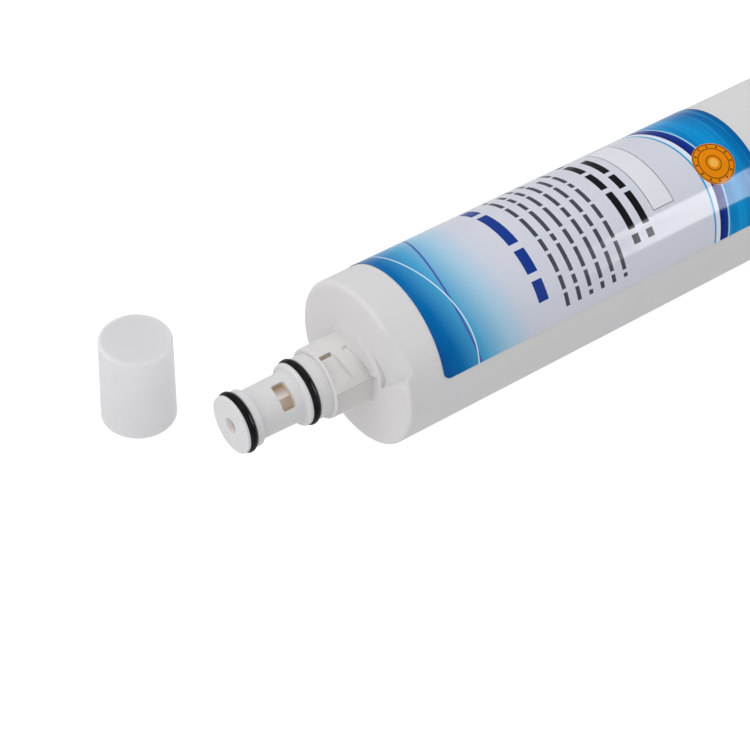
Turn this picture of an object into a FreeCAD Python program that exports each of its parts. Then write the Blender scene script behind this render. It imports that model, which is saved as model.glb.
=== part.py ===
import FreeCAD, Part
import math
import os
import Sketcher
from FreeCAD import Vector

# Fridge water filter cartridge lying on its side, with its nose cap taken off and stood beside it.
# The long axis is X: the nose tip is at X = 0 and the tail is toward +X. Z is up, sizes are in mm.

document = FreeCAD.newDocument("FilterCartridge")

# Every size of the part, by name. Angles are in degrees, from the top of the part toward -Y.
sizes = [
    ("body_radius", 26.8),
    ("body_wall", 2.6),
    ("body_end_x", 262.0),
    ("shoulder_x", 44.8),
    ("shoulder_wall", 5.6),
    ("shoulder_round", 1.5),
    ("neck_front_x", 29.85),
    ("neck_radius", 11.4),
    ("neck_round", 0.6),
    ("neck_root_round", 1.8),
    ("neck_bore_radius", 8.2),
    ("neck_bore_x", 31.0),
    ("tip_radius", 9.15),
    ("tip_round", 0.4),
    ("tip_wall", 2.0),
    ("outlet_radius", 2.6),
    ("socket_radius", 4.5),
    ("socket_end_x", 9.0),
    ("front_groove_x", 1.05),
    ("front_groove_width", 2.7),
    ("flange_radius", 9.0),
    ("flange_end_x", 6.2),
    ("flange_round", 0.4),
    ("stem_front_radius", 7.82),
    ("stem_rear_radius", 8.05),
    ("stem_bore_radius", 6.0),
    ("land_x", 21.4),
    ("land_radius", 9.97),
    ("land_round", 0.8),
    ("rear_groove_x", 22.8),
    ("rear_groove_width", 2.65),
    ("ring_section", 2.45),
    ("front_ring_radius", 9.7),
    ("rear_ring_radius", 10.6),
    ("window_x", 13.9),
    ("window_length", 4.5),
    ("window_width", 8.3),
    ("window_turn", 32.6),
    ("window_round", 0.8),
    ("track_x", 40.1),
    ("track_width", 1.8),
    ("track_radius", 10.3),
    ("track_turn", 40.0),
    ("track_tilt", 15.7),
    ("track_span", 66.0),
    ("notch_x", 30.5),
    ("notch_root", 0.3),
    ("notch_turn", 90.0),
    ("notch_height", 9.6),
    ("notch_edge", 3.84),
    ("seat_turn", 36.0),
    ("seat_height", 10.2),
    ("seat_length_above", 4.4),
    ("seat_length_below", 6.6),
    ("seat_top", 5.87),
    ("seat_foot", 4.04),
    ("slot_width", 1.2),
    ("slot_length", 4.2),
    ("ramp_turn", 41.0),
    ("ramp_tilt", 6.7),
    ("ramp_slope", 12.1),
    ("ramp_depth", 0.56),
    ("ramp_offset", 8.84),
    ("step_draft", 28.0),
    ("step_height", 2.0),
    ("step_brow", 72.0),
    ("step_foot_round", 1.4),
    ("step_top_round", 2.0),
    ("ramp_width", 20.0),
    ("ramp_clear", 12.0),
    ("tube_radius", 4.1),
    ("tube_bore_radius", 3.0),
    ("seal_section", 1.0),
    ("seal_groove_x", 4.2),
    ("seal_groove_width", 1.3),
    ("block_front_x", 56.0),
    ("block_end_x", 240.0),
    ("water_gap", 2.2),
    ("wrap_thickness", 0.8),
    ("core_radius", 6.4),
    ("core_thickness", 1.4),
    ("end_cap_thickness", 2.4),
    ("end_cap_skirt", 5.0),
    ("end_cap_wall", 1.2),
    ("pin_radius", 3.0),
    ("closure_thickness", 4.0),
    ("closure_round", 1.5),
    ("plug_length", 8.0),
    ("plug_wall", 3.0),
    ("pin_socket_wall", 2.4),
    ("key_length", 32.0),
    ("key_web_width", 6.0),
    ("key_web_height", 4.0),
    ("key_head_width", 14.0),
    ("key_head_height", 4.0),
    ("key_round", 0.8),
    ("label_x", 58.2),
    ("label_length", 131.0),
    ("label_adhesive", 0.1),
    ("label_film", 0.1),
    ("label_turn", 75.5),
    ("label_span", 240.0),
    ("label_round", 2.5),
    ("cap_x", -5.3),
    ("cap_y", 42.5),
    ("cap_height", 31.0),
    ("cap_top_radius", 11.24),
    ("cap_rim_radius", 11.67),
    ("cap_wall", 0.9),
    ("cap_round", 1.1),
]

sheet = document.addObject("Spreadsheet::Sheet", "Size")
for row, (alias, value) in enumerate(sizes, start=1):
    sheet.set("A%d" % row, alias)
    sheet.set("B%d" % row, str(value))
    sheet.setAlias("B%d" % row, alias)
document.recompute()

nodes = []


def number(expression):
    """The present value of an expression written with the sheet's names."""
    return float(sheet.evalExpression(expression))


def new_body(name, label):
    """A body for one physical piece."""
    body = document.addObject("PartDesign::Body", name)
    body.Label = label
    nodes.append(body)
    return body


def place(body, x="0", y="0", z="0"):
    """Tie the place of a body to the sheet."""
    body.setExpression("Placement.Base.x", x)
    body.setExpression("Placement.Base.y", y)
    body.setExpression("Placement.Base.z", z)


def origin_plane(body, role):
    """One of a body's own three planes."""
    return next(item for item in body.Origin.OriginFeatures if item.Role == role)


def pin(sketch, index, expression, along):
    """Hold the start of line index at a signed distance from the sketch's origin."""
    if expression == "0":
        axis = -2 if along == "DistanceX" else -1
        sketch.addConstraint(Sketcher.Constraint("PointOnObject", index, 1, axis))
        return
    value = number(expression)
    if value < 0:
        rule = Sketcher.Constraint(along, index, 1, -1, 1, -value)
        expression = "-(%s)" % expression
    else:
        rule = Sketcher.Constraint(along, -1, 1, index, 1, value)
    added = sketch.addConstraint(rule)
    sketch.setExpression("Constraints[%d]" % added, expression)


def outline(body, name, corners, role="XY_Plane", offset=None, arcs=(), rounds=None):
    """A closed sketch through corners, each a pair of expressions.

    arcs holds the numbers of sides that are hollow quarter rounds, and rounds gives the radius of
    each corner that is rounded.
    """
    sketch = body.newObject("Sketcher::SketchObject", name)
    sketch.AttachmentSupport = [(origin_plane(body, role), "")]
    sketch.MapMode = "FlatFace"
    if offset:
        sketch.setExpression("AttachmentOffset", offset)
    points = [Vector(number(x), number(y), 0) for x, y in corners]
    for index, point in enumerate(points):
        after = points[(index + 1) % len(points)]
        if index in arcs:
            centre = Vector(point.x, after.y, 0)
            circle = Part.Circle(centre, Vector(0, 0, 1), (after - centre).Length)
            start = circle.parameter(point)
            sketch.addGeometry(Part.ArcOfCircle(circle, start, circle.parameter(after) + 2 * math.pi))
        else:
            sketch.addGeometry(Part.LineSegment(point, after))
    for index in range(len(points)):
        following = (index + 1) % len(points)
        sketch.addConstraint(Sketcher.Constraint("Coincident", index, 2, following, 1))
    for index in arcs:
        sketch.addConstraint(Sketcher.Constraint("Vertical", index, 3, index, 1))
    for index, (x, y) in enumerate(corners):
        pin(sketch, index, x, "DistanceX")
        pin(sketch, index, y, "DistanceY")
    for index, radius in (rounds or {}).items():
        sketch.fillet(index, 1, number(radius), True, True)
        arc = max(k for k, item in enumerate(sketch.Geometry) if isinstance(item, Part.ArcOfCircle))
        added = sketch.addConstraint(Sketcher.Constraint("Radius", arc, number(radius)))
        sketch.setExpression("Constraints[%d]" % added, radius)
    document.recompute()
    return sketch


def turned(sketch, name, span=None, kind="Revolution"):
    """Turn a sketch about its own long axis, all the way round or through a span about its plane."""
    body = sketch.getParentGeoFeatureGroup()
    feature = body.newObject("PartDesign::" + kind, name)
    feature.Profile = sketch
    feature.ReferenceAxis = (sketch, ["H_Axis"])
    feature.Angle = 360
    if span:
        feature.Midplane = True
        feature.setExpression("Angle", span)
    document.recompute()
    return feature


def pushed(sketch, name, kind, length, both_ways=False, outward=True):
    """Pad or pocket a sketch by a length."""
    body = sketch.getParentGeoFeatureGroup()
    feature = body.newObject("PartDesign::" + kind, name)
    feature.Profile = sketch
    feature.setExpression("Length", length)
    feature.Midplane = both_ways
    feature.Reversed = outward if kind == "Pocket" else not outward
    document.recompute()
    return feature


def half_turn_pair(features, name):
    """Repeat features once, half a turn round the long axis."""
    body = features[0].getParentGeoFeatureGroup()
    pattern = body.newObject("PartDesign::PolarPattern", name)
    pattern.Originals = features
    pattern.Axis = (origin_plane(body, "X_Axis"), [""])
    pattern.Angle = 360
    pattern.Occurrences = 2
    body.Tip = pattern
    document.recompute()
    return pattern


def round_edges(base, name, edges, radius):
    """Round a list of edges of the feature base."""
    body = base.getParentGeoFeatureGroup()
    feature = body.newObject("PartDesign::Fillet", name)
    feature.Base = (base, edges)
    feature.setExpression("Radius", radius)
    document.recompute()
    return feature


def circles(feature, x, radius):
    """Names of the edges that run round the long axis at a place and a radius."""
    place_x = number(x)
    size = number(radius)
    found = []
    for index, edge in enumerate(feature.Shape.Edges, start=1):
        if not isinstance(edge.Curve, Part.Circle):
            continue
        if abs(edge.Curve.Center.x - place_x) < 1e-4 and abs(edge.Curve.Radius - size) < 1e-4:
            found.append("Edge%d" % index)
    return found


def straight_edges(feature, test):
    """Names of the straight edges whose middle and direction pass a test."""
    found = []
    for index, edge in enumerate(feature.Shape.Edges, start=1):
        if not isinstance(edge.Curve, Part.Line):
            continue
        direction = edge.Vertexes[1].Point - edge.Vertexes[0].Point
        if test(edge.CenterOfMass, direction):
            found.append("Edge%d" % index)
    return found


# Housing: one white moulding. The barrel comes first, as a cup whose shoulder is the nose end.
housing = new_body("housing", "Housing")
barrel_sketch = outline(housing, "BarrelOutline", [
    ("Size.shoulder_x", "Size.neck_radius"),
    ("Size.shoulder_x", "Size.body_radius"),
    ("Size.body_end_x", "Size.body_radius"),
    ("Size.body_end_x", "Size.body_radius - Size.body_wall"),
    ("Size.shoulder_x + Size.shoulder_wall", "Size.body_radius - Size.body_wall"),
    ("Size.shoulder_x + Size.shoulder_wall", "Size.neck_radius"),
])
barrel = turned(barrel_sketch, "Barrel")
shoulder_edge = circles(barrel, "Size.shoulder_x", "Size.body_radius")
shoulder_round = round_edges(barrel, "ShoulderRound", shoulder_edge, "Size.shoulder_round")

# Two sloping cam faces sink into the shoulder, each ending at a soft step, half a turn apart.
ramp_sketch = outline(housing, "RampOutline", [
    ("Size.ramp_depth", "-Size.ramp_offset"),
    ("Size.ramp_depth - (Size.ramp_width + Size.ramp_offset) * tan(Size.ramp_slope)", "Size.ramp_width"),
    ("-Size.ramp_clear", "Size.ramp_width"),
    ("-Size.ramp_clear", "-Size.ramp_offset - (Size.step_height + Size.ramp_depth) * tan(Size.step_draft)"
     " - (Size.ramp_clear - Size.step_height) * tan(Size.step_brow)"),
    ("-Size.step_height", "-Size.ramp_offset - (Size.step_height + Size.ramp_depth) * tan(Size.step_draft)"),
], offset="placement(vector(Size.shoulder_x; 0; 0); rotation(vector(1; 0; 0); Size.ramp_turn)"
          " * rotation(vector(0; 1; 0); Size.ramp_tilt))",
    rounds={0: "Size.step_foot_round", 4: "Size.step_top_round"})
ramp = pushed(ramp_sketch, "Ramp", "Pocket", "Size.body_radius + Size.ramp_clear")
ramp_pair = half_turn_pair([ramp], "RampPair")

# The neck and the spigot grow out of the shoulder, with two ring grooves and the outlet bore.
spigot_sketch = outline(housing, "SpigotOutline", [
    ("0", "Size.outlet_radius"),
    ("0", "Size.tip_radius"),
    ("Size.front_groove_x", "Size.tip_radius"),
    ("Size.front_groove_x", "Size.front_ring_radius - Size.ring_section"),
    ("Size.front_groove_x + Size.front_groove_width", "Size.front_ring_radius - Size.ring_section"),
    ("Size.front_groove_x + Size.front_groove_width", "Size.flange_radius"),
    ("Size.flange_end_x", "Size.flange_radius"),
    ("Size.flange_end_x", "Size.stem_front_radius"),
    ("Size.land_x", "Size.stem_rear_radius"),
    ("Size.land_x", "Size.land_radius"),
    ("Size.rear_groove_x", "Size.land_radius"),
    ("Size.rear_groove_x", "Size.rear_ring_radius - Size.ring_section"),
    ("Size.rear_groove_x + Size.rear_groove_width", "Size.rear_ring_radius - Size.ring_section"),
    ("Size.rear_groove_x + Size.rear_groove_width", "Size.land_radius"),
    ("Size.neck_front_x", "Size.land_radius"),
    ("Size.neck_front_x", "Size.neck_radius"),
    ("Size.shoulder_x - Size.neck_root_round", "Size.neck_radius"),
    ("Size.shoulder_x", "Size.neck_radius + Size.neck_root_round"),
    ("Size.shoulder_x + Size.shoulder_wall", "Size.neck_radius + Size.neck_root_round"),
    ("Size.shoulder_x + Size.shoulder_wall", "Size.neck_bore_radius"),
    ("Size.neck_bore_x", "Size.neck_bore_radius"),
    ("Size.neck_bore_x - (Size.neck_bore_radius - Size.stem_bore_radius)", "Size.stem_bore_radius"),
    ("Size.socket_end_x", "Size.stem_bore_radius"),
    ("Size.socket_end_x", "Size.socket_radius"),
    ("Size.tip_wall", "Size.socket_radius"),
    ("Size.tip_wall", "Size.outlet_radius"),
], arcs=(16,))
spigot = turned(spigot_sketch, "Spigot")
tip_round = round_edges(spigot, "TipRound", circles(spigot, "0", "Size.tip_radius"), "Size.tip_round")
flange_edges = circles(tip_round, "Size.flange_end_x", "Size.flange_radius")
flange_edges += circles(tip_round, "Size.flange_end_x", "Size.stem_front_radius")
flange_round = round_edges(tip_round, "FlangeRound", flange_edges, "Size.flange_round")
land_edges = circles(flange_round, "Size.land_x", "Size.land_radius")
land_edges += circles(flange_round, "Size.land_x", "Size.stem_rear_radius")
land_round = round_edges(flange_round, "LandRound", land_edges, "Size.land_round")
neck_edges = circles(land_round, "Size.neck_front_x", "Size.neck_radius")
neck_round = round_edges(land_round, "NeckRound", neck_edges, "Size.neck_round")

# Two inlet windows through the stem, between the rings.
window_sketch = outline(housing, "WindowOutline", [
    ("Size.window_x", "-Size.window_width / 2"),
    ("Size.window_x + Size.window_length", "-Size.window_width / 2"),
    ("Size.window_x + Size.window_length", "Size.window_width / 2"),
    ("Size.window_x", "Size.window_width / 2"),
], offset="placement(vector(0; 0; 0); rotation(vector(1; 0; 0); Size.window_turn))")
windows = pushed(window_sketch, "Windows", "Pocket", "3 * Size.land_radius", both_ways=True)


def window_corner(middle, direction):
    """True for the corner edges of the windows."""
    inside = number("Size.window_x") - 0.01 < middle.x < number("Size.window_x + Size.window_length") + 0.01
    return inside and abs(direction.x) < 1e-6


window_edges = straight_edges(windows, window_corner)
window_round = round_edges(windows, "WindowRound", window_edges, "Size.window_round")

# Two flats cut the neck back behind its rim, and leave two bayonet lugs between them.
notch_sketch = outline(housing, "NotchOutline", [
    ("Size.notch_x", "-Size.neck_radius"),
    ("Size.shoulder_x - Size.notch_root", "-Size.neck_radius"),
    ("Size.shoulder_x - Size.notch_root", "Size.notch_edge"),
    ("Size.notch_x", "Size.notch_edge"),
], offset="placement(vector(0; -Size.notch_height * sin(Size.notch_turn); Size.notch_height"
          " * cos(Size.notch_turn)); rotation(vector(1; 0; 0); Size.notch_turn))")
notch = pushed(notch_sketch, "Notch", "Pocket", "Size.neck_radius")

# Each lug has a flat seat sunk into its outer face, with a slot through the wall at its upper end.
seat_plane = ("placement(vector(0; -Size.seat_height * sin(Size.seat_turn); Size.seat_height"
              " * cos(Size.seat_turn)); rotation(vector(1; 0; 0); Size.seat_turn))")
seat_sketch = outline(housing, "SeatOutline", [
    ("Size.notch_x", "-Size.seat_foot"),
    ("Size.notch_x + Size.seat_length_below", "-Size.seat_foot"),
    ("Size.notch_x + Size.seat_length_above", "Size.seat_top"),
    ("Size.notch_x", "Size.seat_top"),
], offset=seat_plane)
seat = pushed(seat_sketch, "Seat", "Pocket", "Size.neck_radius")
slot_sketch = outline(housing, "SlotOutline", [
    ("Size.notch_x", "Size.seat_top - Size.slot_width"),
    ("Size.notch_x + Size.slot_length", "Size.seat_top - Size.slot_width"),
    ("Size.notch_x + Size.slot_length", "Size.seat_top"),
    ("Size.notch_x", "Size.seat_top"),
], offset=seat_plane)
slot = pushed(slot_sketch, "Slot", "Pocket", "Size.neck_bore_radius / 2", outward=False)

# Behind each lug a track runs round the neck at a slant, so that turning draws the cartridge in.
track_sketch = outline(housing, "TrackOutline", [
    ("0", "Size.track_radius"),
    ("Size.track_width", "Size.track_radius"),
    ("Size.track_width", "Size.neck_radius + Size.neck_root_round"),
    ("0", "Size.neck_radius + Size.neck_root_round"),
], offset="placement(vector(Size.track_x; 0; 0); rotation(vector(1; 0; 0); Size.track_turn + 90)"
          " * rotation(vector(0; 1; 0); Size.track_tilt))")
track = turned(track_sketch, "Track", span="Size.track_span", kind="Groove")
lug_pair = half_turn_pair([notch, seat, slot, track], "LugPair")

# Sealing rings: black rubber, each seated on the floor of its groove.
for name, label, groove_x, groove_width, radius in (
    ("front_ring", "Front sealing ring", "Size.front_groove_x", "Size.front_groove_width",
     "Size.front_ring_radius"),
    ("rear_ring", "Rear sealing ring", "Size.rear_groove_x", "Size.rear_groove_width",
     "Size.rear_ring_radius"),
):
    ring = document.addObject("Part::Torus", name)
    ring.Label = label
    ring.setExpression("Radius1", radius + " - Size.ring_section / 2")
    ring.setExpression("Radius2", "Size.ring_section / 2")
    ring.setExpression("Placement", "placement(vector(%s + %s / 2; 0; 0); rotation(vector(0; 1; 0); 90))"
                       % (groove_x, groove_width))
    nodes.append(ring)

# The filter block fills the barrel but for a gap that the water runs down.
end_cap_radius = "Size.body_radius - Size.body_wall - Size.water_gap"
wrap_radius = end_cap_radius + " - Size.end_cap_wall"
block_radius = wrap_radius + " - Size.wrap_thickness"

# Front end cap of the filter block: a disc with a skirt, and the outlet tube that plugs into the tip.
front_cap = new_body("block_front_cap", "Filter block front end cap")
place(front_cap, x="Size.tip_wall")
front_cap_sketch = outline(front_cap, "FrontCapOutline", [
    ("0", "Size.tube_bore_radius"),
    ("0", "Size.tube_radius"),
    ("Size.seal_groove_x - Size.tip_wall", "Size.tube_radius"),
    ("Size.seal_groove_x - Size.tip_wall", "Size.socket_radius - Size.seal_section"),
    ("Size.seal_groove_x + Size.seal_groove_width - Size.tip_wall", "Size.socket_radius - Size.seal_section"),
    ("Size.seal_groove_x + Size.seal_groove_width - Size.tip_wall", "Size.tube_radius"),
    ("Size.block_front_x - Size.end_cap_thickness - Size.tip_wall", "Size.tube_radius"),
    ("Size.block_front_x - Size.end_cap_thickness - Size.tip_wall",
     end_cap_radius),
    ("Size.block_front_x + Size.end_cap_skirt - Size.tip_wall",
     end_cap_radius),
    ("Size.block_front_x + Size.end_cap_skirt - Size.tip_wall", wrap_radius),
    ("Size.block_front_x - Size.tip_wall", wrap_radius),
    ("Size.block_front_x - Size.tip_wall", "Size.tube_bore_radius"),
])
turned(front_cap_sketch, "FrontCap")

# Small rubber ring that seals the outlet tube in the tip.
tube_seal = document.addObject("Part::Torus", "tube_seal")
tube_seal.Label = "Outlet tube seal"
tube_seal.setExpression("Radius1", "Size.socket_radius - Size.seal_section / 2")
tube_seal.setExpression("Radius2", "Size.seal_section / 2")
tube_seal.setExpression("Placement", "placement(vector(Size.seal_groove_x + Size.seal_groove_width / 2; 0; 0);"
                        " rotation(vector(0; 1; 0); 90))")
nodes.append(tube_seal)


def sleeve(name, label, inner, outer):
    """A plain sleeve that runs the length of the filter block."""
    body = new_body(name, label)
    place(body, x="Size.block_front_x")
    sketch = outline(body, label.title().replace(" ", "") + "Outline", [
        ("0", inner),
        ("Size.block_end_x - Size.block_front_x", inner),
        ("Size.block_end_x - Size.block_front_x", outer),
        ("0", outer),
    ])
    turned(sketch, label.title().replace(" ", "") + "Turned")


# The filter block is a carbon sleeve, with a fleece core inside it and a sediment wrap round it.
sleeve("core_sleeve", "Fleece core", "Size.core_radius - Size.core_thickness", "Size.core_radius")
sleeve("carbon_block", "Carbon block", "Size.core_radius", block_radius)
sleeve("sediment_wrap", "Sediment wrap", block_radius, wrap_radius)

# Rear end cap of the filter block: a blind disc with a skirt, and a pin that the tail closure holds.
rear_cap = new_body("block_rear_cap", "Filter block rear end cap")
place(rear_cap, x="Size.block_end_x - Size.end_cap_skirt")
rear_cap_sketch = outline(rear_cap, "RearCapOutline", [
    ("Size.end_cap_skirt", "0"),
    ("Size.end_cap_skirt", wrap_radius),
    ("0", wrap_radius),
    ("0", end_cap_radius),
    ("Size.end_cap_skirt + Size.end_cap_thickness",
     end_cap_radius),
    ("Size.end_cap_skirt + Size.end_cap_thickness", "Size.pin_radius"),
    ("Size.body_end_x - Size.block_end_x + Size.end_cap_skirt", "Size.pin_radius"),
    ("Size.body_end_x - Size.block_end_x + Size.end_cap_skirt", "0"),
])
turned(rear_cap_sketch, "RearCap")

# Tail closure: a plate welded to the end of the barrel, with a plug ring inside and a grip key outside.
closure = new_body("tail_closure", "Tail closure")
place(closure, x="Size.body_end_x - Size.plug_length")
closure_sketch = outline(closure, "ClosureOutline", [
    ("Size.plug_length", "0"),
    ("Size.plug_length", "Size.pin_radius"),
    ("0", "Size.pin_radius"),
    ("0", "Size.pin_radius + Size.pin_socket_wall"),
    ("Size.plug_length", "Size.pin_radius + Size.pin_socket_wall"),
    ("Size.plug_length", "Size.body_radius - Size.body_wall - Size.plug_wall"),
    ("0", "Size.body_radius - Size.body_wall - Size.plug_wall"),
    ("0", "Size.body_radius - Size.body_wall"),
    ("Size.plug_length", "Size.body_radius - Size.body_wall"),
    ("Size.plug_length", "Size.body_radius"),
    ("Size.plug_length + Size.closure_thickness", "Size.body_radius"),
    ("Size.plug_length + Size.closure_thickness", "0"),
])
closure_plate = turned(closure_sketch, "ClosurePlate")
closure_edges = circles(closure_plate, "Size.plug_length + Size.closure_thickness", "Size.body_radius")
closure_round = round_edges(closure_plate, "ClosureRound", closure_edges, "Size.closure_round")
key_sketch = outline(closure, "KeyOutline", [
    ("Size.plug_length + Size.closure_thickness / 2", "-Size.key_web_width / 2"),
    ("Size.plug_length + Size.closure_thickness + Size.key_web_height", "-Size.key_web_width / 2"),
    ("Size.plug_length + Size.closure_thickness + Size.key_web_height", "-Size.key_head_width / 2"),
    ("Size.plug_length + Size.closure_thickness + Size.key_web_height + Size.key_head_height",
     "-Size.key_head_width / 2"),
    ("Size.plug_length + Size.closure_thickness + Size.key_web_height + Size.key_head_height",
     "Size.key_head_width / 2"),
    ("Size.plug_length + Size.closure_thickness + Size.key_web_height", "Size.key_head_width / 2"),
    ("Size.plug_length + Size.closure_thickness + Size.key_web_height", "Size.key_web_width / 2"),
    ("Size.plug_length + Size.closure_thickness / 2", "Size.key_web_width / 2"),
])
key = pushed(key_sketch, "Key", "Pad", "Size.key_length", both_ways=True)


def key_corner(middle, direction):
    """True for the outer edges of the key's head."""
    top = number("Size.plug_length + Size.closure_thickness + Size.key_web_height + Size.key_head_height")
    return abs(middle.x - top) < 1e-4


key_edges = straight_edges(key, key_corner)
key_round = round_edges(key, "KeyRound", key_edges, "Size.key_round")

# Label: a printed film held by a layer of adhesive, wrapped on the barrel short of the underside.
# A thicker sheet is made first, so that its corners can be rounded, and is thinned to the film.
label = new_body("label", "Label film")
place(label, x="Size.label_x")
label_plane = ("placement(vector(0; 0; 0); rotation(vector(1; 0; 0);"
               " Size.label_turn - Size.label_span / 2 + 90))")
label_sketch = outline(label, "LabelOutline", [
    ("0", "Size.body_radius - Size.body_wall"),
    ("Size.label_length", "Size.body_radius - Size.body_wall"),
    ("Size.label_length", "Size.body_radius + Size.label_adhesive + Size.label_film"),
    ("0", "Size.body_radius + Size.label_adhesive + Size.label_film"),
], offset=label_plane)
label_sheet = turned(label_sketch, "LabelSheet", span="Size.label_span")


def label_corner(middle, direction):
    """True for the four short edges through the sheet at its corners."""
    return abs(direction.x) < 1e-6


label_edges = straight_edges(label_sheet, label_corner)
label_round = round_edges(label_sheet, "LabelRound", label_edges, "Size.label_round")
thinning_sketch = outline(label, "ThinningOutline", [
    ("0", "Size.body_radius - 2 * Size.body_wall"),
    ("Size.label_length", "Size.body_radius - 2 * Size.body_wall"),
    ("Size.label_length", "Size.body_radius + Size.label_adhesive"),
    ("0", "Size.body_radius + Size.label_adhesive"),
], offset=label_plane)
turned(thinning_sketch, "Thinning", kind="Groove")

# Nose cap: a thin moulded cup that guards the rings until the cartridge is fitted.
cap = new_body("nose_cap", "Nose cap")
place(cap, x="Size.cap_x", y="Size.cap_y", z="-Size.body_radius")
cap_sketch = outline(cap, "CapOutline", [
    ("0", "Size.cap_height"),
    ("Size.cap_top_radius", "Size.cap_height"),
    ("Size.cap_rim_radius", "0"),
    ("Size.cap_rim_radius - Size.cap_wall", "0"),
    ("Size.cap_top_radius - Size.cap_wall", "Size.cap_height - Size.cap_wall"),
    ("0", "Size.cap_height - Size.cap_wall"),
], role="XZ_Plane")
cap_cup = cap.newObject("PartDesign::Revolution", "CapCup")
cap_cup.Profile = cap_sketch
cap_cup.ReferenceAxis = (cap_sketch, ["V_Axis"])
cap_cup.Angle = 360
document.recompute()


def cap_top_edges(feature):
    """Names of the round edge at the top of the cup, outside."""
    found = []
    for index, edge in enumerate(feature.Shape.Edges, start=1):
        if not isinstance(edge.Curve, Part.Circle):
            continue
        if abs(edge.Curve.Radius - number("Size.cap_top_radius")) < 1e-4:
            found.append("Edge%d" % index)
    return found


cap_round = round_edges(cap_cup, "CapRound", cap_top_edges(cap_cup), "Size.cap_round")

document.recompute()
for item in document.Objects:
    if "Invalid" in item.State or "Error" in item.State:
        raise RuntimeError("the feature %s did not build" % item.Name)
for item in nodes:
    if not item.Shape.isValid() or len(item.Shape.Solids) != 1:
        raise RuntimeError("the piece %s is not one valid solid" % item.Name)

os.makedirs("parts", exist_ok=True)
for item in nodes:
    item.Shape.exportStep("parts/%s.step" % item.Name)
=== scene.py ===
import math

import bpy
import numpy as np
from mathutils import Matrix, Vector


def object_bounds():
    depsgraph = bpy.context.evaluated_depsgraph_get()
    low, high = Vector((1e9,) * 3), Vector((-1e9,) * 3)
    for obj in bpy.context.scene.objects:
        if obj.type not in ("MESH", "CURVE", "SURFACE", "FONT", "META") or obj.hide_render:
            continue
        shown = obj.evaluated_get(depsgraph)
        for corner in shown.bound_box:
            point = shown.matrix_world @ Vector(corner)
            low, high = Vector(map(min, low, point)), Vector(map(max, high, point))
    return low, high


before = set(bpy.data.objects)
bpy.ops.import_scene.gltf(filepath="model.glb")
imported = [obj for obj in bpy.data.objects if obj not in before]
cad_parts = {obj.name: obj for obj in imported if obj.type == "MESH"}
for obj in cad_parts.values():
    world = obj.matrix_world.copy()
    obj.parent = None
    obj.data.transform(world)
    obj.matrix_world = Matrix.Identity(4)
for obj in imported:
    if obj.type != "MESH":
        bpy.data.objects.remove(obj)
cad_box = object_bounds()


# Housing: barrel, shoulder, neck and spigot, moulded in one piece from white polypropylene.
# The mould leaves a fine satin skin with soft edges. The thin walls let some light through, so
# the passages inside, seen through the windows and the slots, look warm; that light is painted on them as
# a tan shade and a glow.
def linear(code):
    """An sRGB hex colour as linear red, green, blue and alpha, by the curve of the sRGB standard."""
    parts = np.array([int(code[k:k + 2], 16) for k in (1, 3, 5)]) / 255
    light = np.where(parts <= 0.04045, parts / 12.92, ((parts + 0.055) / 1.055) ** 2.4)
    return (*light.tolist(), 1.0)


def add(finish, kind, feeds=None, stops=(), **settings):
    """Add a shader node with its settings, and return it.

    feeds gives a socket its value, or the node or output that feeds it. stops are the places and
    colours of a colour ramp.
    """
    tree = finish.node_tree
    made = tree.nodes.new("ShaderNode" + kind)
    for name, value in settings.items():
        setattr(made, name, value)
    if stops:
        ramp = made.color_ramp.elements
        ramp.remove(ramp[1])
        ramp[0].position = stops[0][0]
        ramp[0].color = linear(stops[0][1])
        for position, code in stops[1:]:
            ramp.new(position).color = linear(code)
    for socket, value in (feeds or {}).items():
        if isinstance(value, bpy.types.Node):
            value = value.outputs[0]
        if isinstance(value, bpy.types.NodeSocket):
            tree.links.new(value, made.inputs[socket])
        else:
            made.inputs[socket].default_value = value
    return made


def new_finish(name, sockets):
    """A material and its one shader, with the shader's constant sockets set by name."""
    finish = bpy.data.materials.new(name)
    finish.use_nodes = True
    shader = finish.node_tree.nodes["Principled BSDF"]
    for socket, value in sockets.items():
        shader.inputs[socket].default_value = value
    return finish, shader


def feed(finish, shader, socket, made):
    """Link a node's first output to a socket of the shader."""
    finish.node_tree.links.new(made.outputs[0], shader.inputs[socket])


def dress(finish, *names):
    """Give the named pieces of the frame this material."""
    for name in names:
        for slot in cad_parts[name].material_slots:
            slot.material = finish


# Moulded polypropylene: milky white with a soft broad sheen, and light bleeds about two millimetres
# into it. Sizes here are in millimetres, X from the tip, and turns are in degrees.
mm_per_metre = 1000.0
skin_white = "#DCDCDC"
skin_cool = "#D7D7D9"
neck_white = "#DAD8D7"
passage_painted_tan = "#ACA092"
flow_patch = 16.0
satin_patch = 5.0
satin_roughness = (0.34, 0.46)
grain_size = 0.5
grain_depth = 0.004
edge_radius = 0.6
neck_warm_from = (22.0, 34.0)
neck_warm_to = (50.0, 42.0)
outlet_radius = 2.8
passage_start = 8.0
passage_radius = 7.4
neck_start = 29.7
neck_bore_radius = 9.3
passage_end = 60.0
skin_fade = (-0.1, 0.3)
mouth_fade = (0.1, 7.0)
# The glow strengths below are painted light: light through the walls, and light in the shaded tracks.
passage_painted_glow = 0.42
outlet_painted_glow = 0.22
lug_skin_radius = 11.25
track_wall_radius = 11.0
track_reach = (38.4, 44.0)
track_turn = (5.0, 74.0)
track_dim_turn = 45.0
track_painted_glow = (0.21, 0.08)
polypropylene, polypropylene_shader = new_finish("moulded_white_polypropylene", {
    "IOR": 1.49,
    "Specular IOR Level": 0.045,
    "Subsurface Weight": 0.25,
    "Subsurface Radius": (1.0, 0.9, 0.85),
    "Subsurface Scale": 0.002,
})
place = add(polypropylene, "TexCoord").outputs["Object"]
millimetres = add(polypropylene, "VectorMath", {0: place, "Scale": mm_per_metre}, operation="SCALE")
axes = add(polypropylene, "SeparateXYZ", {0: millimetres})
from_tip = axes.outputs["X"]
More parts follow.
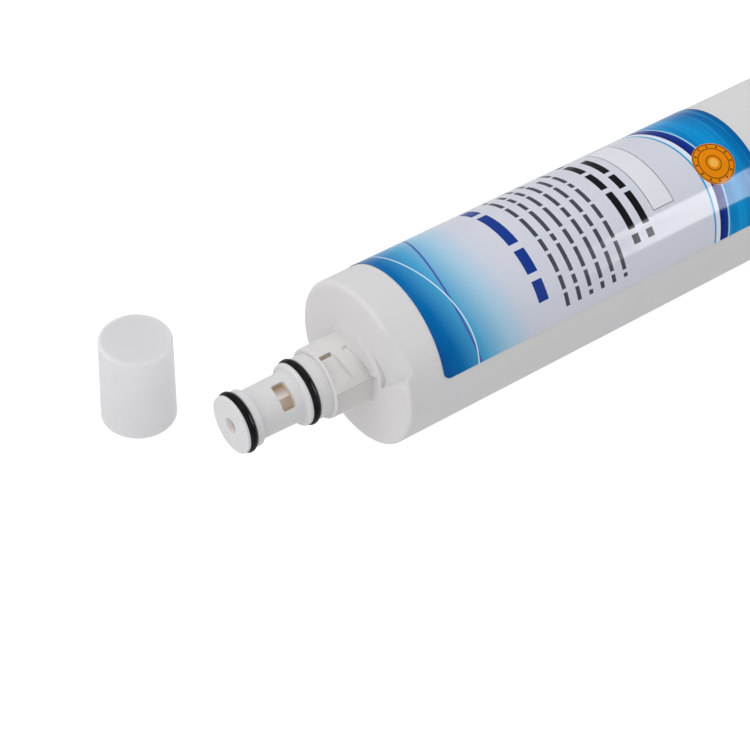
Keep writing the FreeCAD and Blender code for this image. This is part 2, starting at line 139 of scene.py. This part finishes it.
across = add(polypropylene, "CombineXYZ", {"Y": axes.outputs["Y"], "Z": axes.outputs["Z"]})
radius = add(polypropylene, "VectorMath", {0: across}, operation="LENGTH").outputs["Value"]

# The passage widens in steps from the outlet bore to the spigot and the neck. What lies inside its
# radius there is the inside of the nose. From a little way in from the tip's face it is painted tan, a
# painted shade for the warm light through the wall.
past_tip = add(polypropylene, "Math", {0: from_tip, 1: passage_start}, operation="GREATER_THAN")
skin = add(polypropylene, "Math", {0: past_tip, 1: passage_radius - outlet_radius, 2: outlet_radius},
           operation="MULTIPLY_ADD")
on_neck = add(polypropylene, "Math", {0: from_tip, 1: neck_start}, operation="GREATER_THAN")
skin = add(polypropylene, "Math", {0: on_neck, 1: neck_bore_radius - passage_radius, 2: skin},
           operation="MULTIPLY_ADD")
depth = add(polypropylene, "Math", {0: skin, 1: radius}, operation="SUBTRACT")
below_skin = add(polypropylene, "MapRange", {"Value": depth, "From Min": skin_fade[0],
                                             "From Max": skin_fade[1]})
off_face = add(polypropylene, "MapRange", {"Value": from_tip, "From Min": mouth_fade[0],
                                           "From Max": mouth_fade[1]})
inside = add(polypropylene, "Math", {0: below_skin, 1: off_face}, operation="MULTIPLY")
in_nose = add(polypropylene, "Math", {0: from_tip, 1: passage_end}, operation="LESS_THAN")
inside = add(polypropylene, "Math", {0: inside, 1: in_nose}, operation="MULTIPLY")

# The skin is white, with cooler patches where the melt flowed, and a little warmer on the neck.
flow = add(polypropylene, "TexNoise", {"Vector": millimetres, "Scale": 1 / flow_patch, "Detail": 2.0})
white = add(polypropylene, "MixRGB", {"Fac": flow, "Color1": linear(skin_white),
                                      "Color2": linear(skin_cool)})
before_neck = add(polypropylene, "MapRange", {"Value": from_tip, "From Min": neck_warm_from[0],
                                              "From Max": neck_warm_from[1]})
past_neck = add(polypropylene, "MapRange", {"Value": from_tip, "From Min": neck_warm_to[0],
                                            "From Max": neck_warm_to[1]})
warmth = add(polypropylene, "Math", {0: before_neck, 1: past_neck}, operation="MULTIPLY")
white = add(polypropylene, "MixRGB", {"Fac": warmth, "Color1": white, "Color2": linear(neck_white)})
# Inside the nose the skin takes the painted tan shade.
colour = add(polypropylene, "MixRGB", {"Fac": inside, "Color1": white, "Color2": linear(passage_painted_tan)})
feed(polypropylene, polypropylene_shader, "Base Color", colour)

# Light that soaks through the walls is painted on as a faint glow of the plastic's own colour: in the
# passages, more in the short outlet bore, and a little painted light in the two slanted tracks, most at
# their upper ends, which lifts their shade.
front = add(polypropylene, "Math", {0: axes.outputs["Y"], 1: -1.0}, operation="MULTIPLY")
turn = add(polypropylene, "Math", {0: front, 1: axes.outputs["Z"]}, operation="ARCTAN2")
half_turn = add(polypropylene, "Math", {0: turn, 1: math.pi}, operation="FLOORED_MODULO")
sunk = add(polypropylene, "MapRange", {"Value": radius, "From Min": lug_skin_radius,
                                       "From Max": track_wall_radius})
beside = add(polypropylene, "Math", {0: from_tip, 1: sum(track_reach) / 2,
                                     2: (track_reach[1] - track_reach[0]) / 2}, operation="COMPARE")
round_neck = add(polypropylene, "Math", {0: half_turn, 1: math.radians(sum(track_turn) / 2),
                                         2: math.radians((track_turn[1] - track_turn[0]) / 2)},
                 operation="COMPARE")
in_track = add(polypropylene, "Math", {0: sunk, 1: beside}, operation="MULTIPLY")
in_track = add(polypropylene, "Math", {0: in_track, 1: round_neck}, operation="MULTIPLY")
track_painted_light = add(polypropylene, "MapRange", {
    "Value": half_turn,
    "From Min": math.radians(track_turn[0]),
    "From Max": math.radians(track_dim_turn),
    "To Min": track_painted_glow[0],
    "To Max": track_painted_glow[1],
})
track_painted_light = add(polypropylene, "Math", {0: in_track, 1: track_painted_light}, operation="MULTIPLY")
painted_glow = add(polypropylene, "Math", {0: inside, 1: passage_painted_glow, 2: track_painted_light}, operation="MULTIPLY_ADD")
in_outlet = add(polypropylene, "Math", {0: from_tip, 1: passage_start}, operation="LESS_THAN")
in_outlet = add(polypropylene, "Math", {0: in_outlet, 1: below_skin}, operation="MULTIPLY")
painted_glow = add(polypropylene, "Math", {0: in_outlet, 1: outlet_painted_glow, 2: painted_glow}, operation="MULTIPLY_ADD")
feed(polypropylene, polypropylene_shader, "Emission Color", colour)
feed(polypropylene, polypropylene_shader, "Emission Strength", painted_glow)

# The satin varies in patches. The mould's spark grain is finer than a pixel, so it is drawn at half a
# millimetre, and the edges are rounded to the eye.
satin = add(polypropylene, "TexNoise", {"Vector": millimetres, "Scale": 1 / satin_patch, "Detail": 3.0})
sheen = add(polypropylene, "MapRange", {"Value": satin, "To Min": satin_roughness[0],
                                        "To Max": satin_roughness[1]})
feed(polypropylene, polypropylene_shader, "Roughness", sheen)
grain = add(polypropylene, "TexNoise", {"Vector": millimetres, "Scale": 1 / grain_size, "Detail": 1.0})
soft_edge = add(polypropylene, "Bevel", {"Radius": edge_radius / mm_per_metre}, samples=8)
relief = add(polypropylene, "Bump", {"Height": grain, "Distance": grain_depth / mm_per_metre,
                                     "Strength": 0.6, "Normal": soft_edge})
feed(polypropylene, polypropylene_shader, "Normal", relief)
dress(polypropylene, "housing")


# Filter block: pressed carbon round a fleece core, inside a fleece wrap, with an end cap glued to
# each end. Only the outlet tube of the front cap shows, through the windows of the spigot.

# Natural polypropylene: translucent. The light that soaks into the nose is painted on it as a glow,
# stronger than
# the light on its skin: tan, with a pale painted highlight streak toward the window, and painted shade to
# either side.
natural_skin = ("#8E837A", "#857A70")
natural_patch = 6.0
highlight_turn = (-60.0, 120.0)
natural, natural_shader = new_finish("natural_polypropylene", {
    "Roughness": 0.35,
    "IOR": 1.49,
    "Emission Strength": 0.75,
})
place = add(natural, "TexCoord").outputs["Object"]
millimetres = add(natural, "VectorMath", {0: place, "Scale": mm_per_metre}, operation="SCALE")
cloud = add(natural, "TexNoise", {"Vector": millimetres, "Scale": 1 / natural_patch, "Detail": 2.0})
tone = add(natural, "MixRGB", {"Fac": cloud, "Color1": linear(natural_skin[0]),
                               "Color2": linear(natural_skin[1])})
feed(natural, natural_shader, "Base Color", tone)
axes = add(natural, "SeparateXYZ", {0: millimetres})
front = add(natural, "Math", {0: axes.outputs["Y"], 1: -1.0}, operation="MULTIPLY")
turn = add(natural, "Math", {0: front, 1: axes.outputs["Z"]}, operation="ARCTAN2")
turn_share = add(natural, "MapRange", {"Value": turn, "From Min": math.radians(highlight_turn[0]),
                                       "From Max": math.radians(highlight_turn[1])})
# Painted light round the tube: painted shade, a pale painted highlight toward the window, then painted
# shade again.
painted_light_tone = add(natural, "ValToRGB", {"Fac": turn_share}, stops=(
    (0.1, "#6E573D"), (0.25, "#9C8976"), (0.39, "#B6ADA8"), (0.47, "#CBC4C1"), (0.5, "#D8D3D2"),
    (0.53, "#96897F"), (0.75, "#9A897B"), (0.85, "#857465")))
feed(natural, natural_shader, "Emission Color", painted_light_tone)
dress(natural, "block_front_cap", "block_rear_cap")

# Pressed carbon: matt black grit of about half a millimetre, held by a binder.
grit_size = 0.5
grit_depth = 0.1
carbon, carbon_shader = new_finish("pressed_carbon", {"Roughness": 0.9, "IOR": 1.6})
place = add(carbon, "TexCoord").outputs["Object"]
millimetres = add(carbon, "VectorMath", {0: place, "Scale": mm_per_metre}, operation="SCALE")
grit = add(carbon, "TexVoronoi", {"Vector": millimetres, "Scale": 1 / grit_size})
black = add(carbon, "ValToRGB", {"Fac": grit}, stops=((0.0, "#0D0D0E"), (0.7, "#242425")))
feed(carbon, carbon_shader, "Base Color", black)
pits = add(carbon, "Bump", {"Height": grit, "Distance": grit_depth / mm_per_metre})
feed(carbon, carbon_shader, "Normal", pits)
dress(carbon, "carbon_block")

# Spun fleece: white fibres laid at random, soft and without gloss. They are far finer than a pixel,
# so they are drawn as tufts of 0.6 mm.
tuft_size = 0.6
nap_depth = 0.2
fleece, fleece_shader = new_finish("spun_fleece", {"Roughness": 0.95, "IOR": 1.45})
place = add(fleece, "TexCoord").outputs["Object"]
millimetres = add(fleece, "VectorMath", {0: place, "Scale": mm_per_metre}, operation="SCALE")
fibres = add(fleece, "TexNoise", {"Vector": millimetres, "Scale": 1 / tuft_size, "Detail": 6.0,
                                  "Distortion": 2.0})
fuzz = add(fleece, "ValToRGB", {"Fac": fibres}, stops=((0.3, "#CFCFCB"), (0.7, "#F0F0EC")))
feed(fleece, fleece_shader, "Base Color", fuzz)
nap = add(fleece, "Bump", {"Height": fibres, "Distance": nap_depth / mm_per_metre})
feed(fleece, fleece_shader, "Normal", nap)
dress(fleece, "core_sleeve", "sediment_wrap")


# Tail closure: a white polypropylene plate welded into the barrel's end, with the grip key on it.
# It is moulded from the same material as the housing.
dress(polypropylene, "tail_closure")


# Sealing rings: moulded nitrile rubber, pressed into the grooves of the spigot and of the outlet tube
# and lightly greased. They look near black, with a soft highlight that the thin grease breaks up.
# The rubber's pores are finer than a pixel, so they are drawn at 0.35 mm.
grease_patch = 2.5
grease_roughness = (0.18, 0.42)
pore_size = 0.35
pore_depth = 0.01
rubber, rubber_shader = new_finish("greased_nitrile_rubber", {"IOR": 1.52, "Specular IOR Level": 0.075})
place = add(rubber, "TexCoord").outputs["Object"]
millimetres = add(rubber, "VectorMath", {0: place, "Scale": mm_per_metre}, operation="SCALE")
bloom = add(rubber, "TexNoise", {"Vector": millimetres, "Scale": 1 / grease_patch, "Detail": 4.0})
black = add(rubber, "ValToRGB", {"Fac": bloom}, stops=((0.3, "#080708"), (0.75, "#1C1A1D")))
feed(rubber, rubber_shader, "Base Color", black)
grease = add(rubber, "MapRange", {"Value": bloom, "To Min": grease_roughness[0],
                                  "To Max": grease_roughness[1]})
feed(rubber, rubber_shader, "Roughness", grease)
pores = add(rubber, "TexNoise", {"Vector": millimetres, "Scale": 1 / pore_size, "Detail": 2.0})
relief = add(rubber, "Bump", {"Height": pores, "Distance": pore_depth / mm_per_metre, "Strength": 0.5})
feed(rubber, rubber_shader, "Normal", relief)
dress(rubber, "front_ring", "rear_ring", "tube_seal")


# Label: a glossy polyester film, printed and stuck round the barrel. The print is drawn in
# millimetres on the film: along from its nose end, around from its lower edge at the front.
label_start = 58.2
label_radius = 27.0
label_edge = math.radians(75.5)
film, film_shader = new_finish("printed_polyester_film", {
    "Roughness": 0.1,
    "IOR": 1.52,
    "Specular IOR Level": 0.05,
})
place = add(film, "TexCoord").outputs["Object"]
axes = add(film, "SeparateXYZ", {0: place})
along = add(film, "Math", {0: axes.outputs["X"], 1: mm_per_metre, 2: -label_start},
            operation="MULTIPLY_ADD")
front = add(film, "Math", {0: axes.outputs["Y"], 1: -1.0}, operation="MULTIPLY")
turn = add(film, "Math", {0: front, 1: axes.outputs["Z"]}, operation="ARCTAN2")
around = add(film, "Math", {0: turn, 1: -label_radius, 2: label_radius * label_edge},
             operation="MULTIPLY_ADD")


def past_wave(middle, height, length, shift):
    """Distance along the film past a wave: along - middle - height * sin(around / length + shift)."""
    angle = add(film, "Math", {0: around, 1: 1 / length, 2: shift}, operation="MULTIPLY_ADD")
    swing = add(film, "Math", {0: angle}, operation="SINE")
    crest = add(film, "Math", {0: swing, 1: height, 2: middle}, operation="MULTIPLY_ADD")
    return add(film, "Math", {0: along, 1: crest}, operation="SUBTRACT")


def print_on(under, ink, *masks):
    """Lay an ink over what is printed so far, as strongly as the product of its masks."""
    cover = masks[0]
    for mask in masks[1:]:
        cover = add(film, "Math", {0: cover, 1: mask}, operation="MULTIPLY")
    return add(film, "MixRGB", {"Fac": cover, "Color1": under, "Color2": ink})


# Ground: lilac grey, with a blue field at the nose end that fades into it behind two fine waves.
fade_length = 38.0
navy_half_width = 0.35
pale_half_width = 0.22
fade = past_wave(middle=0.0, height=4.0, length=17.0, shift=2.6)
fade_share = add(film, "Math", {0: fade, 1: 1 / fade_length}, operation="MULTIPLY")
art = add(film, "ValToRGB", {"Fac": fade_share}, stops=(
    (0.0, "#02579C"), (0.14, "#006AAE"), (0.36, "#4CA4D2"), (0.62, "#A6CCE4"), (0.84, "#CFD4E3"),
    (1.0, "#D3D6E1")))
navy_wave = past_wave(middle=17.0, height=6.0, length=21.0, shift=3.7)
on_navy = add(film, "Math", {0: navy_wave, 1: 0.0, 2: navy_half_width}, operation="COMPARE")
art = print_on(art, linear("#4A62AE"), on_navy)
pale_wave = past_wave(middle=9.0, height=4.0, length=15.0, shift=1.2)
on_pale = add(film, "Math", {0: pale_wave, 1: 0.0, 2: pale_half_width}, operation="COMPARE")
art = print_on(art, linear("#CFE6F4"), on_pale)

# Lines of print as bars: one tall navy line, six thin dark ones and two bold black ones. The gap's
# half width and places are shares of a word, and the shortest row is a share of the reach.
gap_half_width = 0.08
gap_places = (0.2, 0.8)
shortest_row = 0.7


def word_bars(first, pitch, rows, height, start, reach, word):
    """Masks for rows of bars: row = floor((along - first) / pitch), with a bar mid-way in each row.

    Around the film, word = floor((around - start) / word length). Each word has one gap at a random
    place, and each row ends at a random share of its reach.
    """
    line = add(film, "Math", {0: along, 1: 1 / pitch, 2: -first / pitch}, operation="MULTIPLY_ADD")
    row = add(film, "Math", {0: line}, operation="FLOOR")
    in_row = add(film, "Math", {0: line}, operation="FRACT")
    step = add(film, "Math", {0: around, 1: 1 / word, 2: -start / word}, operation="MULTIPLY_ADD")
    cell = add(film, "Math", {0: step}, operation="FLOOR")
    in_cell = add(film, "Math", {0: step}, operation="FRACT")
    pair = add(film, "CombineXYZ", {0: cell, 1: row, 2: first})
    chance = add(film, "TexWhiteNoise", {"Vector": pair}, noise_dimensions="3D")
    gap = add(film, "MapRange", {"Value": chance, "To Min": gap_places[0], "To Max": gap_places[1]})
    in_gap = add(film, "Math", {0: in_cell, 1: gap, 2: gap_half_width}, operation="COMPARE")
    inked = add(film, "Math", {0: 1.0, 1: in_gap}, operation="SUBTRACT")
    row_chance = add(film, "TexWhiteNoise", {"W": row}, noise_dimensions="1D")
    end = add(film, "MapRange", {"Value": row_chance, "To Min": shortest_row * reach / word,
                                 "To Max": reach / word})
    before_end = add(film, "Math", {0: step, 1: end}, operation="LESS_THAN")
    after_start = add(film, "Math", {0: step, 1: 0.0}, operation="GREATER_THAN")
    # Rows are whole numbers, so a quarter of a row is slack enough to take in the first and the last.
    in_rows = add(film, "Math", {0: row, 1: (rows - 1) / 2, 2: rows / 2 - 0.25}, operation="COMPARE")
    on_bar = add(film, "Math", {0: in_row, 1: 0.5, 2: 0.5 * height / pitch}, operation="COMPARE")
    return in_rows, on_bar, inked, before_end, after_start


navy_line = word_bars(first=36.0, pitch=7.5, rows=1, height=3.8, start=9.0, reach=52.0, word=15.0)
art = print_on(art, linear("#1C3A8E"), *navy_line)
thin_lines = word_bars(first=45.5, pitch=4.6, rows=6, height=1.5, start=4.0, reach=66.0, word=7.0)
art = print_on(art, linear("#4B4A55"), *thin_lines)
bold_lines = word_bars(first=75.5, pitch=5.6, rows=2, height=2.6, start=12.0, reach=50.0, word=11.0)
art = print_on(art, linear("#17171C"), *bold_lines)

# A blank panel to write a date in: white inside a thin grey line.
panel_middle = (92.5, 36.0)
panel_half = (4.0, 17.0)
panel_line = 0.25
for ink, margin in (("#5B6069", panel_line), ("#E2E3EA", 0.0)):
    in_length = add(film, "Math", {0: along, 1: panel_middle[0], 2: panel_half[0] + margin},
                    operation="COMPARE")
    in_width = add(film, "Math", {0: around, 1: panel_middle[1], 2: panel_half[1] + margin},
                   operation="COMPARE")
    art = print_on(art, linear(ink), in_length, in_width)

# Blue bands at the tail end, behind a wave, and then a blue field with pale streaks round the film.
tail_length = 26.0
streaks_start = 0.25
streak_stretch = 0.05
streak_width = 2.4
streak_limits = (0.48, 0.72)
streak_cover = 0.6
tail = past_wave(middle=105.0, height=4.5, length=19.0, shift=0.4)
tail_share = add(film, "Math", {0: tail, 1: 1 / tail_length}, operation="MULTIPLY")
bands = add(film, "ValToRGB", {"Fac": tail_share}, stops=(
    (0.0, "#2E9FD6"), (0.025, "#2E9FD6"), (0.03, "#DDE5F1"), (0.09, "#DDE5F1"), (0.095, "#0F1E72"),
    (0.22, "#123A94"), (0.225, "#9FD0EA"), (0.245, "#9FD0EA"), (0.25, "#0078BC"), (0.45, "#0A92D4"),
    (0.75, "#0066AA"), (1.0, "#004F8E")))
on_tail = add(film, "Math", {0: tail, 1: 0.0}, operation="GREATER_THAN")
art = print_on(art, bands, on_tail)
stretched = add(film, "Math", {0: around, 1: streak_stretch}, operation="MULTIPLY")
streak_place = add(film, "CombineXYZ", {0: along, 1: stretched})
streaks = add(film, "TexNoise", {"Vector": streak_place, "Scale": 1 / streak_width, "Detail": 2.0})
streaks = add(film, "MapRange", {"Value": streaks, "From Min": streak_limits[0],
                                 "From Max": streak_limits[1], "To Max": streak_cover})
past_bands = add(film, "Math", {0: tail_share, 1: streaks_start}, operation="GREATER_THAN")
art = print_on(art, linear("#2AAEE6"), streaks, past_bands)

# An orange month dial: a disc with rings, twelve plain ticks between the outer two, and a pale hub.
dial_middle = (117.0, 24.0)
dial_radius = 7.4
dial_brown = linear("#5E3A10")
ring_radii = (7.0, 5.3, 2.6)
ring_half_width = 0.16
tick_count = 12
tick_radius = 6.15
tick_half_length = 0.45
tick_half_share = 0.09
hub_radius = 1.6
dial_x = add(film, "Math", {0: along, 1: dial_middle[0]}, operation="SUBTRACT")
dial_y = add(film, "Math", {0: around, 1: dial_middle[1]}, operation="SUBTRACT")
offset = add(film, "CombineXYZ", {0: dial_x, 1: dial_y})
from_middle = add(film, "VectorMath", {0: offset}, operation="LENGTH").outputs["Value"]
bearing = add(film, "Math", {0: dial_y, 1: dial_x}, operation="ARCTAN2")
month = add(film, "Math", {0: bearing, 1: tick_count / math.tau}, operation="MULTIPLY")
in_month = add(film, "Math", {0: month, 1: 1.0}, operation="FLOORED_MODULO")
on_disc = add(film, "Math", {0: from_middle, 1: 0.0, 2: dial_radius}, operation="COMPARE")
art = print_on(art, linear("#E88808"), on_disc)
for ring_radius in ring_radii:
    on_ring = add(film, "Math", {0: from_middle, 1: ring_radius, 2: ring_half_width}, operation="COMPARE")
    art = print_on(art, dial_brown, on_ring)
between_rings = add(film, "Math", {0: from_middle, 1: tick_radius, 2: tick_half_length},
                    operation="COMPARE")
on_tick = add(film, "Math", {0: in_month, 1: 0.5, 2: tick_half_share}, operation="COMPARE")
art = print_on(art, dial_brown, between_rings, on_tick)
on_hub = add(film, "Math", {0: from_middle, 1: 0.0, 2: hub_radius}, operation="COMPARE")
art = print_on(art, linear("#F6B44E"), on_hub)
feed(film, film_shader, "Base Color", art)

# The film follows small waves of the adhesive, a few millimetres across.
ripple_size = 9.0
ripple_depth = 0.02
ripple_place = add(film, "VectorMath", {0: place, "Scale": mm_per_metre}, operation="SCALE")
ripple = add(film, "TexNoise", {"Vector": ripple_place, "Scale": 1 / ripple_size, "Detail": 1.0})
waves = add(film, "Bump", {"Height": ripple, "Distance": ripple_depth / mm_per_metre, "Strength": 0.5})
feed(film, film_shader, "Normal", waves)
dress(film, "label")


# Nose cap: a thin cup moulded from milky polyethylene, pushed over the nose until the cartridge is
# fitted. Here it is off and stands on its rim. Light soaks through its wall and evens it out; that light
# is painted on as a glow.
cap_rim = -26.8
cap_height = 31.0
cap_radius = 12.0
cap_middle = (-5.3, 42.5)
milk_patch = 10.0
away_from_lamp = (0.78, -0.62, 0.0)
far_side_full = 0.55
# Strengths of the painted glow of light through the wall:
cap_painted_glow = 0.094
cap_painted_top_glow = 0.024
far_painted_glow = 0.045
far_painted_top_glow = 0.125
milky, milky_shader = new_finish("milky_polyethylene", {
    "Roughness": 0.42,
    "IOR": 1.51,
    "Specular IOR Level": 0.13,
    "Subsurface Weight": 1.0,
    "Subsurface Radius": (1.0, 1.0, 1.0),
    "Subsurface Scale": 0.006,
})
place = add(milky, "TexCoord")
millimetres = add(milky, "VectorMath", {0: place.outputs["Object"], "Scale": mm_per_metre},
                  operation="SCALE")
cloud = add(milky, "TexNoise", {"Vector": millimetres, "Scale": 1 / milk_patch, "Detail": 2.0})
milk = add(milky, "MixRGB", {"Fac": cloud, "Color1": linear("#D2D2D4"), "Color2": linear("#CBCBCD")})
feed(milky, milky_shader, "Base Color", milk)
feed(milky, milky_shader, "Emission Color", milk)

# Light that enters on the lit side and soaks through the cup is painted on as a glow all round, and more
# on the far side from the lamps, most of all near the top. The painted glow grows across the cup and is
# full a little past its middle.
# The end face, which faces the overhead lamp, gets less of the far-side glow.
level = add(milky, "SeparateXYZ", {0: millimetres}).outputs["Z"]
height = add(milky, "MapRange", {"Value": level, "From Min": cap_rim, "From Max": cap_rim + cap_height})
middle_reach = cap_middle[0] * away_from_lamp[0] + cap_middle[1] * away_from_lamp[1]
reach = add(milky, "VectorMath", {0: millimetres, 1: away_from_lamp}, operation="DOT_PRODUCT")
far = add(milky, "MapRange", {"Value": reach.outputs["Value"], "From Min": middle_reach - cap_radius,
                              "From Max": middle_reach + far_side_full * cap_radius})
facing = add(milky, "SeparateXYZ", {0: place.outputs["Normal"]}).outputs["Z"]
on_side = add(milky, "MapRange", {"Value": facing, "From Min": 1.0, "From Max": 0.0})
far = add(milky, "Math", {0: far, 1: on_side}, operation="MULTIPLY")
gain = add(milky, "Math", {0: height, 1: far_painted_top_glow, 2: far_painted_glow}, operation="MULTIPLY_ADD")
painted_glow = add(milky, "Math", {0: far, 1: gain, 2: cap_painted_glow}, operation="MULTIPLY_ADD")
painted_glow = add(milky, "Math", {0: height, 1: cap_painted_top_glow, 2: painted_glow}, operation="MULTIPLY_ADD")
feed(milky, milky_shader, "Emission Strength", painted_glow)
dress(milky, "nose_cap")


# Stage: a white table that only the camera sees, at the part's lowest point, and just under it a pale
# card that the camera doesn't see, which throws light back up. Sizes here are in metres.
floor_level = cad_box[0][2]
card_drop = 0.0002
stage_middle = 0.1
stage_side = 12.0
side_points = 3
haze_patch = 0.05
pulp_patch = 0.005


def sheet(name, level):
    """A flat square: x = middle + u * side, y = v * side, z = level, for u and v from -0.5 to 0.5."""
    edge = np.linspace(-0.5, 0.5, side_points)
    u, v = np.meshgrid(edge, edge)
    points = np.stack([u * stage_side + stage_middle, v * stage_side, np.full_like(u, level)], axis=-1)
    cells = np.arange(side_points - 1)
    corner = (cells[:, None] * side_points + cells[None, :]).ravel()
    quads = np.stack([corner, corner + 1, corner + side_points + 1, corner + side_points], axis=-1)
    mesh = bpy.data.meshes.new(name)
    mesh.from_pydata(points.reshape(-1, 3).tolist(), [], quads.tolist())
    made = bpy.data.objects.new(name, mesh)
    bpy.context.collection.objects.link(made)
    return made


# Acrylic: white, with a faint haze, and lit from below.
table_white, table_shader = new_finish("white_acrylic_table", {
    "Roughness": 0.9,
    "Emission Color": linear("#FFFFFF"),
    "Emission Strength": 0.88,
})
place = add(table_white, "TexCoord").outputs["Object"]
haze = add(table_white, "TexNoise", {"Vector": place, "Scale": 1 / haze_patch})
tone = add(table_white, "MixRGB", {"Fac": haze, "Color1": linear("#8E8E8E"), "Color2": linear("#8A8A8A")})
feed(table_white, table_shader, "Base Color", tone)
table = sheet("table", floor_level)
table.data.materials.append(table_white)
table.visible_diffuse = False
table.visible_glossy = False
table.visible_transmission = False

# Card: matt and pale, with faint flecks of pulp.
card_grey, card_shader = new_finish("pale_card", {
    "Roughness": 0.9,
    "Emission Color": linear("#FFFFFF"),
    "Emission Strength": 0.23,
})
place = add(card_grey, "TexCoord").outputs["Object"]
pulp = add(card_grey, "TexNoise", {"Vector": place, "Scale": 1 / pulp_patch})
tone = add(card_grey, "MixRGB", {"Fac": pulp, "Color1": linear("#DADADA"), "Color2": linear("#D6D6D6")})
feed(card_grey, card_shader, "Base Color", tone)
card = sheet("card", floor_level - card_drop)
card.data.materials.append(card_grey)
card.visible_camera = False


# Lamps: one overhead, one at the nose side, and a tall soft box at the right that the label mirrors.
# The soft box gives gloss and no other light. The sky fills the shadows.
sky_strength = 0.565


def lamp(name, target, direction, distance, width, height, radiance):
    """A soft box at a distance along a direction from its target, facing it, its width along X.

    Its power is its radiance times pi times its area.
    """
    light = bpy.data.lights.new(name, "AREA")
    light.shape = "RECTANGLE"
    light.size = width
    light.size_y = height
    light.energy = radiance * math.pi * width * height
    made = bpy.data.objects.new(name, light)
    bpy.context.collection.objects.link(made)
    away = Vector(direction).normalized()
    wide = (Vector((1.0, 0.0, 0.0)) - away.x * away).normalized()
    turned = Matrix((wide, away.cross(wide), away)).transposed().to_4x4()
    made.matrix_world = Matrix.Translation(Vector(target) + away * distance) @ turned
    return made


lamp("overhead", target=(0.1, 0.0, 0.0), direction=(0.0, 0.15, 1.0), distance=1.3,
     width=1.3, height=1.3, radiance=1.33)
lamp("nose_side", target=(0.05, 0.0, 0.0), direction=(-0.95, -0.12, 0.3), distance=1.2,
     width=0.9, height=0.9, radiance=1.7)
soft_box = lamp("soft_box", target=(0.133, 0.0, 0.0), direction=(0.627, -0.636, 0.450), distance=1.3,
                width=0.27, height=0.62, radiance=48.0)
soft_box.visible_diffuse = False
world = bpy.data.worlds.new("studio")
bpy.context.scene.world = world
world.use_nodes = True
sky = world.node_tree.nodes["Background"]
sky.inputs["Color"].default_value = linear("#FFFFFF")
sky.inputs["Strength"].default_value = sky_strength


# Camera: where the photograph was taken from, 45 degrees up and turned toward the nose. Its place,
# turn and lens come from a fit to the photograph's outlines.
stand = (-0.26242, -0.39419, 0.49291)
azimuth = math.radians(-38.64)
elevation = math.radians(44.85)
roll = math.radians(2.83)
sensor_width = 36.0
focal_length = 112.85
back = Vector((math.sin(azimuth) * math.cos(elevation), -math.cos(azimuth) * math.cos(elevation),
               math.sin(elevation)))
sideways = Vector((math.cos(azimuth), math.sin(azimuth), 0.0))
upward = back.cross(sideways)
right = math.cos(roll) * sideways + math.sin(roll) * upward
top = -math.sin(roll) * sideways + math.cos(roll) * upward
lens = bpy.data.cameras.new("camera")
lens.sensor_width = sensor_width
lens.lens = focal_length
camera = bpy.data.objects.new("camera", lens)
bpy.context.collection.objects.link(camera)
turned = Matrix((right, top, back)).transposed().to_4x4()
camera.matrix_world = Matrix.Translation(stand) @ turned
bpy.context.scene.camera = camera
bpy.context.scene.view_settings.view_transform = "Standard"
